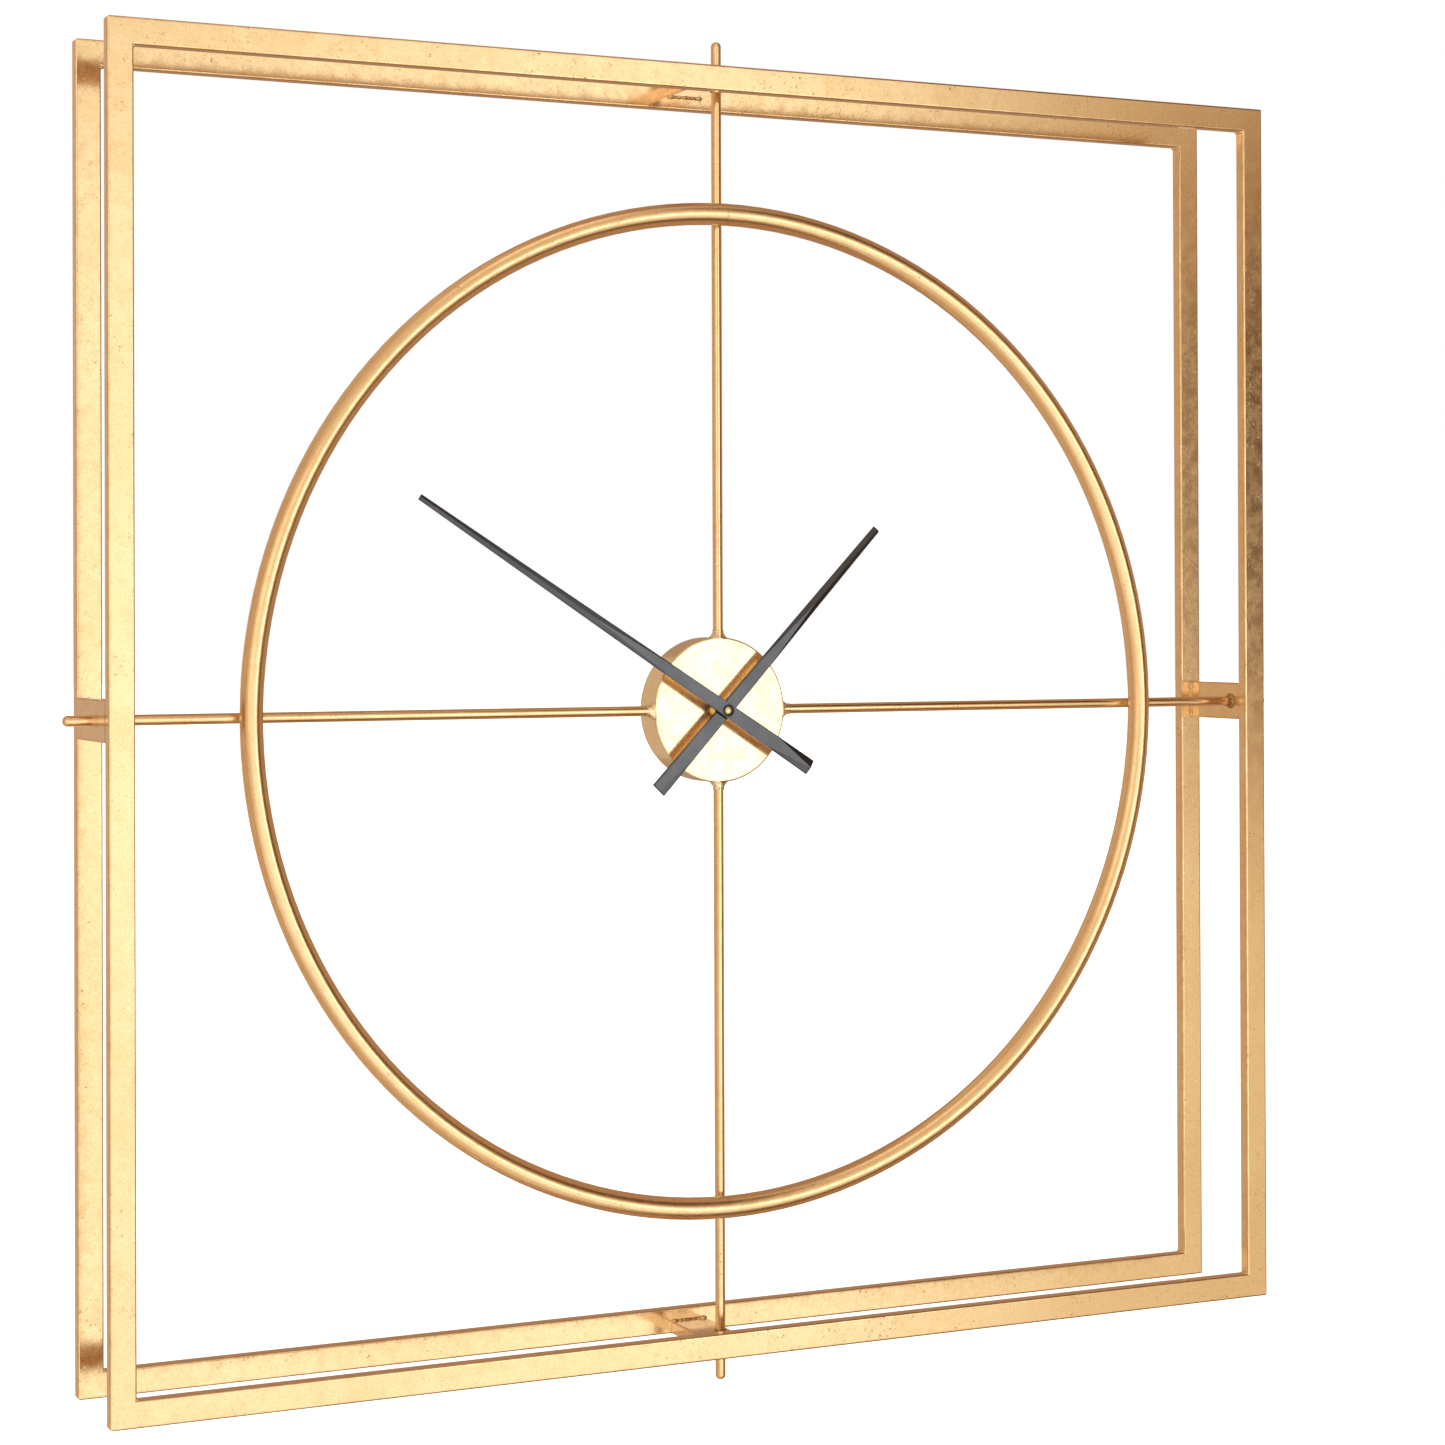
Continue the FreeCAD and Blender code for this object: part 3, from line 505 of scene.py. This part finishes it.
def roughen(bm, size, scale):
    for vert in bm.verts:
        vert.co += noise.noise_vector(vert.co / scale) * size


def addAtQuarters(bm, one):
    # the top piece, turned about the hands' axis to the top, right, bottom and left
    mesh = bpy.data.meshes.new("quarter")
    one.to_mesh(mesh)
    one.free()
    centre = Matrix.Translation(dial)
    for turn in range(4):
        turned = mesh.copy()
        turned.transform(centre @ Matrix.Rotation(math.radians(90 * turn), 4, "Y") @ centre.inverted())
        bm.from_mesh(turned)
        bpy.data.meshes.remove(turned)
    bpy.data.meshes.remove(mesh)


def weldCollar(leg, low, high):
    # a lumpy collar round the top rod, wide at the first height and thin at the second
    one = bmesh.new()
    span = abs(high - low)
    thin = collar["rodRadius"] + collar["skin"]
    bmesh.ops.create_cone(
        one, cap_ends=True, segments=collar["steps"], radius1=collar["rodRadius"] + leg, radius2=thin,
        depth=span,
    )
    sides = [edge for edge in one.edges if abs(edge.verts[0].co.z - edge.verts[1].co.z) > span / 2]
    bmesh.ops.subdivide_edges(one, edges=sides, cuts=collar["rows"], use_grid_fill=True)
    for vert in one.verts:
        share = min(1.0, max(0.0, (vert.co.z + span / 2) / span))
        flare = thin + leg * (1 - share) ** collar["flare"]
        away = Vector((vert.co.x, vert.co.y, 0)).normalized()
        vert.co.x, vert.co.y = away.x * flare, away.y * flare
        vert.co += away * noise.noise(vert.co / collar["lumpScale"]) * collar["lump"]
    if high < low:
        bmesh.ops.rotate(one, verts=one.verts, cent=(0, 0, 0), matrix=Matrix.Rotation(math.pi, 3, "X"))
    bmesh.ops.translate(one, verts=one.verts, vec=(0, rodMiddle, (low + high) / 2))
    return one


def makeHubWelds():
    bm = bmesh.new()
    one = weldCollar(collar["hubLeg"], drumHigh.z - collar["hubSink"], drumHigh.z + collar["hubReach"])
    bmesh.ops.bisect_plane(
        one, geom=one.verts[:] + one.edges[:] + one.faces[:],
        plane_co=(0, drumLow.y - collar["drumFront"], 0), plane_no=(0, -1, 0), clear_outer=True,
    )
    bmesh.ops.holes_fill(one, edges=[edge for edge in one.edges if edge.is_boundary], sides=0)
    addAtQuarters(bm, one)
    piece = meshPiece("hubWeldCollars", bm, "frame", "hub_gold")
    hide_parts("hub_welds")


def makeRodWelds():
    bm = bmesh.new()
    one = weldCollar(collar["rodLeg"], spacerLow.z + collar["rodSink"], spacerLow.z - collar["rodReach"])
    addAtQuarters(bm, one)
    piece = meshPiece("rodWeldCollars", bm, "frame", "weld_brown")
    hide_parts("rod_welds")


# sizes in millimetres
bead = {
    "ripples": 26, "sizes": (0.95, 1.2), "endSize": 1.7, "endShare": 0.04, "endInset": 2.2, "proud": 0.25,
    "sink": 0.1, "jitter": 0.2, "stretch": (1.5, 1.0, 0.85), "lump": 0.12, "lumpScale": 0.8,
}


def makeSpacerBeads():
    # stacked ripples of weld metal in the corners between the spacers and the frames
    bm = bmesh.new()
    one = bmesh.new()
    run = (spacerHigh.x - spacerLow.x) / 2 - bead["endInset"] * mm
    z = spacerLow.z - bead["sink"] * mm
    for y, facing in ((spacerLow.y, 1), (spacerHigh.y, -1)):
        for ripple in range(bead["ripples"]):
            share = ripple / (bead["ripples"] - 1)
            middle = bead["endShare"] < share < 1 - bead["endShare"]
            place = Vector((-run + 2 * run * share, y + facing * bead["proud"] * mm, z))
            place += Vector([random.uniform(-bead["jitter"], bead["jitter"]) * mm for axis in range(3)])
            size = random.uniform(*bead["sizes"]) * mm if middle else bead["endSize"] * mm
            addBlob(one, place, size, bead["stretch"])
    roughen(one, bead["lump"] * mm, bead["lumpScale"] * mm)
    addAtQuarters(bm, one)
    piece = meshPiece("spacerWeldBeads", bm, "frame", "gold_leaf")
    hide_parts("spacer_welds")


# sizes in millimetres; the shares are of the tube's depth
dab = {
    "shares": (0.25, 0.5, 0.75), "jitter": 0.3, "sizes": (0.9, 1.3), "inset": 0.25,
    "stretch": (1.0, 1.3, 1.0), "lump": 0.12, "lumpScale": 0.7,
}


def makeCornerDabs():
    # small dabs of weld left in the inner corners of both frames
    bm = bmesh.new()
    for frameName in ("front", "rear"):
        topLow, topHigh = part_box(frameName + "_frame_top")
        leftLow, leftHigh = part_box(frameName + "_frame_left")
        reach = abs(leftHigh.x) - dab["inset"] * mm
        corners = [(across, up) for across in (-1, 1) for up in (-1, 1)]
        for across, up in corners:
            for share in dab["shares"]:
                y = topLow.y + (topHigh.y - topLow.y) * share
                y += random.uniform(-dab["jitter"], dab["jitter"]) * mm
                size = random.uniform(*dab["sizes"]) * mm
                addBlob(bm, (across * reach, y, dial.z + up * reach), size, dab["stretch"])
    roughen(bm, dab["lump"] * mm, dab["lumpScale"] * mm)
    meshPiece("cornerWeldDabs", bm, "frame", "gold_leaf")


# sizes in millimetres
tack = {
    "ringTube": 7, "size": 1.5, "aside": 3.5, "drops": (-0.6, 0.7), "sink": 0.2, "stretch": (1.0, 1.0, 1.7),
    "lump": 0.15, "lumpScale": 0.9,
}


def makeShadedRingTacks():
    # tacks that hold the ring on the rods, one each side of every crossing; their dark brown is also painted
    # contact shade where the ring crosses the rods
    bm = bmesh.new()
    one = bmesh.new()
    ringLow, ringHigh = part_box("ring_half_left")
    radius = ringHigh.z - dial.z - tack["ringTube"] * mm
    for side in (-1, 1):
        for drop in tack["drops"]:
            place = (side * tack["aside"] * mm, ringHigh.y - tack["sink"] * mm, dial.z + radius + drop * mm)
            addBlob(one, place, tack["size"] * mm, tack["stretch"], fineness=3)
    roughen(one, tack["lump"] * mm, tack["lumpScale"] * mm)
    addAtQuarters(bm, one)
    meshPiece("ringTacksAndContactShade", bm, "frame", "weld_brown")


makeHubWelds()
makeRodWelds()
makeSpacerBeads()
makeCornerDabs()
makeShadedRingTacks()
print("weld metal ready")


# Brass at the middle of the hands

nut = {
    "radius": 2.4 * mm, "waist": 0.9, "dome": 0.75 * mm, "domeSteps": 6, "rim": 0.15 * mm,
    "groove": (1.35 * mm, 1.45 * mm, 1.6 * mm, 1.7 * mm), "bore": 1.2 * mm, "boreEnd": 0.8 * mm, "steps": 48,
}


def makeHandNut():
    # closed nut with a low dome and a turned groove
    low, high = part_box("hand_nut")
    radius, front, back = nut["radius"], low.y, high.y
    waist = radius * nut["waist"]
    corners = [(0, front)]
    for step in range(1, nut["domeSteps"] + 1):
        angle = math.pi / 2 * step / nut["domeSteps"]
        corners.append((waist * math.sin(angle), front + nut["dome"] * (1 - math.cos(angle))))
    corners.append((radius, front + nut["dome"] + nut["rim"]))
    for across, along in zip((radius, waist, waist, radius), nut["groove"]):
        corners.append((across, front + along))
    corners += [(radius, back), (nut["bore"], back), (nut["bore"], front + nut["boreEnd"])]
    corners.append((0, front + nut["boreEnd"]))
    bm = bmesh.new()
    spinProfile(bm, corners, nut["steps"], (0, 0, dial.z))
    piece = meshPiece("handNutDome", bm, "minute_hand_arbor", "brass")
    autoSmooth(piece, 40)
    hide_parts("hand_nut")


bushing = {
    "bore": 2.55 * mm, "crest": 4.0 * mm, "root": 3.7 * mm, "pitch": 0.5 * mm, "plainFront": 0.2 * mm,
    "threadEnd": 1.8 * mm, "neck": 1.2 * mm, "flange": 5.5 * mm, "flangeDepth": 0.8 * mm, "steps": 64,
}


def makeBushing():
    # threaded bushing: sharp ridges where it stands in front of the hub
    low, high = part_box("mounting_bushing")
    bore, crest, root = bushing["bore"], bushing["crest"], bushing["root"]
    pitch, flange = bushing["pitch"], bushing["flange"]
    flangeFront = high.y - bushing["flangeDepth"]
    corners = [(bore, low.y), (root, low.y)]
    y = low.y + bushing["plainFront"]
    while y < flangeFront - bushing["threadEnd"]:
        corners += [(crest, y + pitch / 2), (root, y + pitch)]
        y += pitch
    corners += [(crest, flangeFront - bushing["neck"]), (crest, flangeFront)]
    corners += [(flange, flangeFront), (flange, high.y), (bore, high.y), (bore, low.y)]
    bm = bmesh.new()
    spinProfile(bm, corners, bushing["steps"], (0, 0, dial.z))
    piece = meshPiece("threadedBushing", bm, "frame", "brass")
    autoSmooth(piece, 30)
    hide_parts("mounting_bushing")


makeHandNut()
makeBushing()
print("brass ready")


# Movement details, seen from behind

cover = {
    "raise": 0.45 * mm, "sink": 0.2 * mm, "ringInner": 5.9 * mm, "ringOuter": 7.2 * mm, "chamfer": 0.3 * mm,
    "ribShares": (0.56, 0.66, 0.76, 0.86), "ribWide": 1.2 * mm, "ribDeep": 0.6 * mm, "ribTall": 0.62,
    "ribProud": 0.1 * mm, "ribUp": 2 * mm, "ribRound": 0.15 * mm,
    "latchShares": (0.25, 0.75), "latch": (6.0 * mm, 1.2 * mm, 1.6 * mm), "latchDown": 1.2 * mm,
    "latchRound": 0.25 * mm,
}


def makeBlock(bm, centre, size, rounding):
    made = bmesh.ops.create_cube(bm, size=1.0)
    bmesh.ops.scale(bm, verts=made["verts"], vec=size)
    bmesh.ops.translate(bm, verts=made["verts"], vec=centre)
    edges = {edge for vert in made["verts"] for edge in vert.link_edges}
    bmesh.ops.bevel(
        bm, geom=list(edges), offset=rounding, offset_type="OFFSET", affect="EDGES", segments=2, profile=0.5,
        material=-1,
    )


def makeCoverRelief():
    # moulded relief on the back: a collar round the knob, stiffening ribs and two latches
    low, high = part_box("movement_cover")
    knobLow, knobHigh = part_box("setting_knob")
    knob = (knobLow + knobHigh) / 2
    bm = bmesh.new()
    inner, outer, chamfer = cover["ringInner"], cover["ringOuter"], cover["chamfer"]
    root, back = high.y - cover["sink"], high.y + cover["raise"]
    corners = [
        (inner, root), (inner, back), (outer - chamfer, back),
        (outer, back - chamfer), (outer, root), (inner, root),
    ]
    spinProfile(bm, corners, 64, (knob.x, 0, knob.z))
    width = high.x - low.x
    ribSize = (cover["ribWide"], cover["ribDeep"], (high.z - low.z) * cover["ribTall"])
    for share in cover["ribShares"]:
        centre = (low.x + width * share, high.y + cover["ribProud"], (low.z + high.z) / 2 + cover["ribUp"])
        makeBlock(bm, centre, ribSize, cover["ribRound"])
    for share in cover["latchShares"]:
        centre = (low.x + width * share, root, high.z - cover["latchDown"])
        makeBlock(bm, centre, cover["latch"], cover["latchRound"])
    piece = meshPiece("coverRelief", bm, "frame", "case_plastic", smooth=False)
    autoSmooth(piece, 40)


# in millimetres: less than the cell's radius, and along from the flat end or from the shoulder;
# the button's are its radius, and back from its face
cell = {
    "flatEnd": ((1.6, 0), (1.3, 0.25), (0.7, 0.1), (0.25, 0.25), (0, 0.7)),
    "shoulder": (
        (0, -1.9), (0.25, -1.6), (0.25, -1.4), (0, -1.1), (0, -0.5), (0.5, 0), (1.0, 0), (1.4, -0.5),
    ),
    "button": 1.0, "buttonFoot": ((3.3, -0.5), (2.8, -0.2)), "buttonTop": ((2.65, -0.3), (2.35, 0)),
    "steps": 72, "sleeveWall": 0.35, "sleeveEnds": (0.4, 0.3),
}


def makeCell():
    # AA cell: rolled shoulders, a raised button and a sleeve that stops short of both ends
    low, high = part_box("battery_aa")
    axisY, axisZ = (low.y + high.y) / 2, (low.z + high.z) / 2
    radius = (high.z - low.z) / 2
    start, end = low.x, high.x
    shoulder = end - cell["button"] * mm
    corners = [(0, start)]
    corners += [(radius - inset * mm, start + along * mm) for inset, along in cell["flatEnd"]]
    corners += [(radius - inset * mm, shoulder + along * mm) for inset, along in cell["shoulder"]]
    corners += [(across * mm, shoulder + along * mm) for across, along in cell["buttonFoot"]]
    corners += [(across * mm, end + along * mm) for across, along in cell["buttonTop"]]
    corners.append((0, end))
    bm = bmesh.new()
    spinProfile(bm, corners, cell["steps"], (0, axisY, axisZ), axis=(1, 0, 0))
    sleeveStart, sleeveEnd = start + cell["sleeveEnds"][0] * mm, shoulder - cell["sleeveEnds"][1] * mm
    for face in bm.faces:
        middle = face.calc_center_median()
        reach = Vector((0, middle.y - axisY, middle.z - axisZ)).length
        sleeved = reach > radius - cell["sleeveWall"] * mm and sleeveStart < middle.x < sleeveEnd
        face.material_index = 0 if sleeved else 1
    piece = meshPiece("dryCell", bm, "frame", "battery_sleeve", more=["contact_steel"])
    autoSmooth(piece, 35)
    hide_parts("battery_aa")


makeCoverRelief()
makeCell()
print("movement details ready")


# Studio: a pale floor, soft light all round and a camera

floorLook = {
    "drop": 0.45, "reach": 40.0, "pale": (0.86, 0.86, 0.855, 1), "paler": (0.9, 0.9, 0.895, 1),
    "glow": 0.2, "glowSeen": 0.7,
}


def makeFloor():
    bm = bmesh.new()
    bmesh.ops.create_circle(bm, cap_ends=True, segments=96, radius=floorLook["reach"])
    mesh = bpy.data.meshes.new("floor")
    bm.to_mesh(mesh)
    bm.free()
    mesh.transform(Matrix.Translation((0, 0, cadBox[0].z - floorLook["drop"])))
    floor = bpy.data.objects.new("floor", mesh)
    scene.collection.objects.link(floor)
    material, tree, shader = startMaterial("paleFloor")
    clouds = noiseAt(tree, objectCoords(tree), 3.0)
    colour = mixColour(tree, clouds, floorLook["pale"], floorLook["paler"])
    tree.links.new(colour, shader.inputs["Base Color"])
    shader.inputs["Roughness"].default_value = 0.9
    shader.inputs["Specular IOR Level"].default_value = 0.0
    shader.inputs["Emission Color"].default_value = (1, 1, 1, 1)
    path = addNode(tree, "ShaderNodeLightPath").outputs
    glow = mathNode(tree, "MULTIPLY_ADD", path["Is Camera Ray"], floorLook["glowSeen"], floorLook["glow"])
    tree.links.new(glow, shader.inputs["Emission Strength"])
    # clear from below, and left out of what the metal mirrors
    clear = addNode(tree, "ShaderNodeBsdfTransparent").outputs[0]
    below = addNode(tree, "ShaderNodeNewGeometry").outputs["Backfacing"]
    unseen = mathNode(tree, "MAXIMUM", below, path["Is Glossy Ray"])
    surface = mixShader(tree, unseen, shader.outputs[0], clear)
    tree.links.new(surface, tree.nodes["Material Output"].inputs["Surface"])
    mesh.materials.append(material)


# angles are in degrees: turns to the right of straight ahead, rises above level
sky = {
    "front": 1.35, "behind": 0.6, "frontBand": (-0.3, 0.6),
    "slope": -0.4, "upperFrom": (-7, -1), "spotCentre": (42, 3),
    "glow": 1.1, "glowCentre": (26, -2), "glowFade": (12, 3),
    "farRight": (52, 75), "farRightLight": 0.36,
    "dim": (1.0, 0.61, 0.39, 1), "dimBand": (0.12, 0.95), "warm": (1.0, 0.98, 0.84, 1),
    "bright": (0.95, 1.04, 1.08, 1), "brightBand": (0.7, 1.25),
}
# each flag cuts the light from its first angle to its second, down to a share
flag = {
    "slant": (1, 8, 0.4), "upperRight": (27, 35, 0.72), "spot": (9, 4, 0.02), "right": (43, 49, 0.08),
    "left": (-5, -50, 0.55), "low": (-25, -50, 0.3), "high": (14, 40, 0.45), "behindRight": (28, 36, 0.08),
}


def angleBand(tree, value, low, high, newLow=0.0, newHigh=1.0):
    return remap(tree, value, math.radians(low), math.radians(high), newLow, newHigh)


def cutLight(tree, value, name):
    low, high, share = flag[name]
    return angleBand(tree, value, low, high, 1.0, share)


def awayFrom(tree, turn, rise, centre):
    # angle between a direction and a centre
    across = mathNode(tree, "SUBTRACT", turn, math.radians(centre[0]))
    up = mathNode(tree, "SUBTRACT", rise, math.radians(centre[1]))
    square = mathNode(tree, "MULTIPLY_ADD", across, across, mathNode(tree, "MULTIPLY", up, up))
    return mathNode(tree, "SQRT", square)


def makeWorld():
    # white to the eye; as light, a broad soft source in front with flags above and to the right of it
    world = bpy.data.worlds.new("studio")
    scene.world = world
    world.use_nodes = True
    tree = world.node_tree
    tree.nodes.clear()
    direction = addNode(tree, "ShaderNodeTexCoord").outputs["Generated"]
    split = addNode(tree, "ShaderNodeSeparateXYZ", {"Vector": direction}).outputs
    towardsFront = mathNode(tree, "MULTIPLY", split["Y"], -1.0)
    turn = mathNode(tree, "ARCTAN2", split["X"], towardsFront)
    rise = mathNode(tree, "ARCSINE", split["Z"])
    slant = mathNode(tree, "MULTIPLY_ADD", turn, sky["slope"], rise)
    low, high, share = flag["upperRight"]
    upperRight = mathNode(
        tree, "MULTIPLY", angleBand(tree, turn, low, high), angleBand(tree, rise, *sky["upperFrom"]),
    )
    cuts = (
        cutLight(tree, slant, "slant"),
        mathNode(tree, "MULTIPLY_ADD", upperRight, share - 1.0, 1.0),
        cutLight(tree, awayFrom(tree, turn, rise, sky["spotCentre"]), "spot"),
        cutLight(tree, turn, "right"),
        cutLight(tree, turn, "left"),
        cutLight(tree, rise, "low"),
        cutLight(tree, rise, "high"),
    )
    light = remap(tree, towardsFront, *sky["frontBand"], 0.0, sky["front"] - sky["behind"])
    for cut in cuts:
        light = mathNode(tree, "MULTIPLY", light, cut)
    fromGlow = awayFrom(tree, turn, rise, sky["glowCentre"])
    light = mathNode(tree, "ADD", light, angleBand(tree, fromGlow, *sky["glowFade"], 0.0, sky["glow"]))
    around = mathNode(tree, "MULTIPLY", cutLight(tree, turn, "behindRight"), sky["behind"])
    farRight = angleBand(tree, turn, *sky["farRight"], 0.0, sky["farRightLight"])
    strength = mathNode(tree, "ADD", light, mathNode(tree, "ADD", around, farRight))
    tint = mixColour(tree, remap(tree, strength, *sky["dimBand"]), sky["dim"], sky["warm"])
    tint = mixColour(tree, remap(tree, strength, *sky["brightBand"]), tint, sky["bright"])
    lit = addNode(tree, "ShaderNodeBackground", {"Color": tint, "Strength": strength}).outputs[0]
    seen = addNode(tree, "ShaderNodeBackground", {"Color": (1, 1, 1, 1), "Strength": 1.0}).outputs[0]
    toEye = addNode(tree, "ShaderNodeLightPath").outputs["Is Camera Ray"]
    output = addNode(tree, "ShaderNodeOutputWorld")
    tree.links.new(mixShader(tree, toEye, lit, seen), output.inputs["Surface"])


# places from the middle of the dial
lamps = {
    "fillLamp": {"place": (-1.8, -2.2, 0.6), "power": 4.0, "size": (1.6, 1.6)},
    "topLamp": {"place": (0.3, -0.9, 2.4), "power": 2.5, "size": (2.0, 1.0)},
}


def makeLamp(name, place, power, size):
    data = bpy.data.lights.new(name, "AREA")
    data.energy = power
    data.shape = "RECTANGLE"
    data.size, data.size_y = size
    data.color = (1.0, 0.98, 0.95)
    lamp = bpy.data.objects.new(name, data)
    scene.collection.objects.link(lamp)
    lamp.location = dial + Vector(place)
    lamp.rotation_euler = (dial - lamp.location).to_track_quat("-Z", "Y").to_euler()


view = {
    "place": (-0.8406, -1.6839, -0.3377), "turn": (90.344, 0.181, -23.323), "lens": 71.45, "sensor": 36.0,
    "shift": (0.14, -0.0848), "farthest": 200.0,
}


def makeCamera():
    data = bpy.data.cameras.new("camera")
    data.sensor_width = view["sensor"]
    data.lens = view["lens"]
    data.shift_x, data.shift_y = view["shift"]
    data.clip_end = view["farthest"]
    camera = bpy.data.objects.new("camera", data)
    scene.collection.objects.link(camera)
    camera.location = view["place"]
    camera.rotation_euler = [math.radians(angle) for angle in view["turn"]]
    scene.camera = camera


makeFloor()
makeWorld()
for name, lamp in lamps.items():
    makeLamp(name, **lamp)
makeCamera()
scene.view_settings.view_transform = "Standard"
scene.view_settings.look = "None"
print("studio ready")
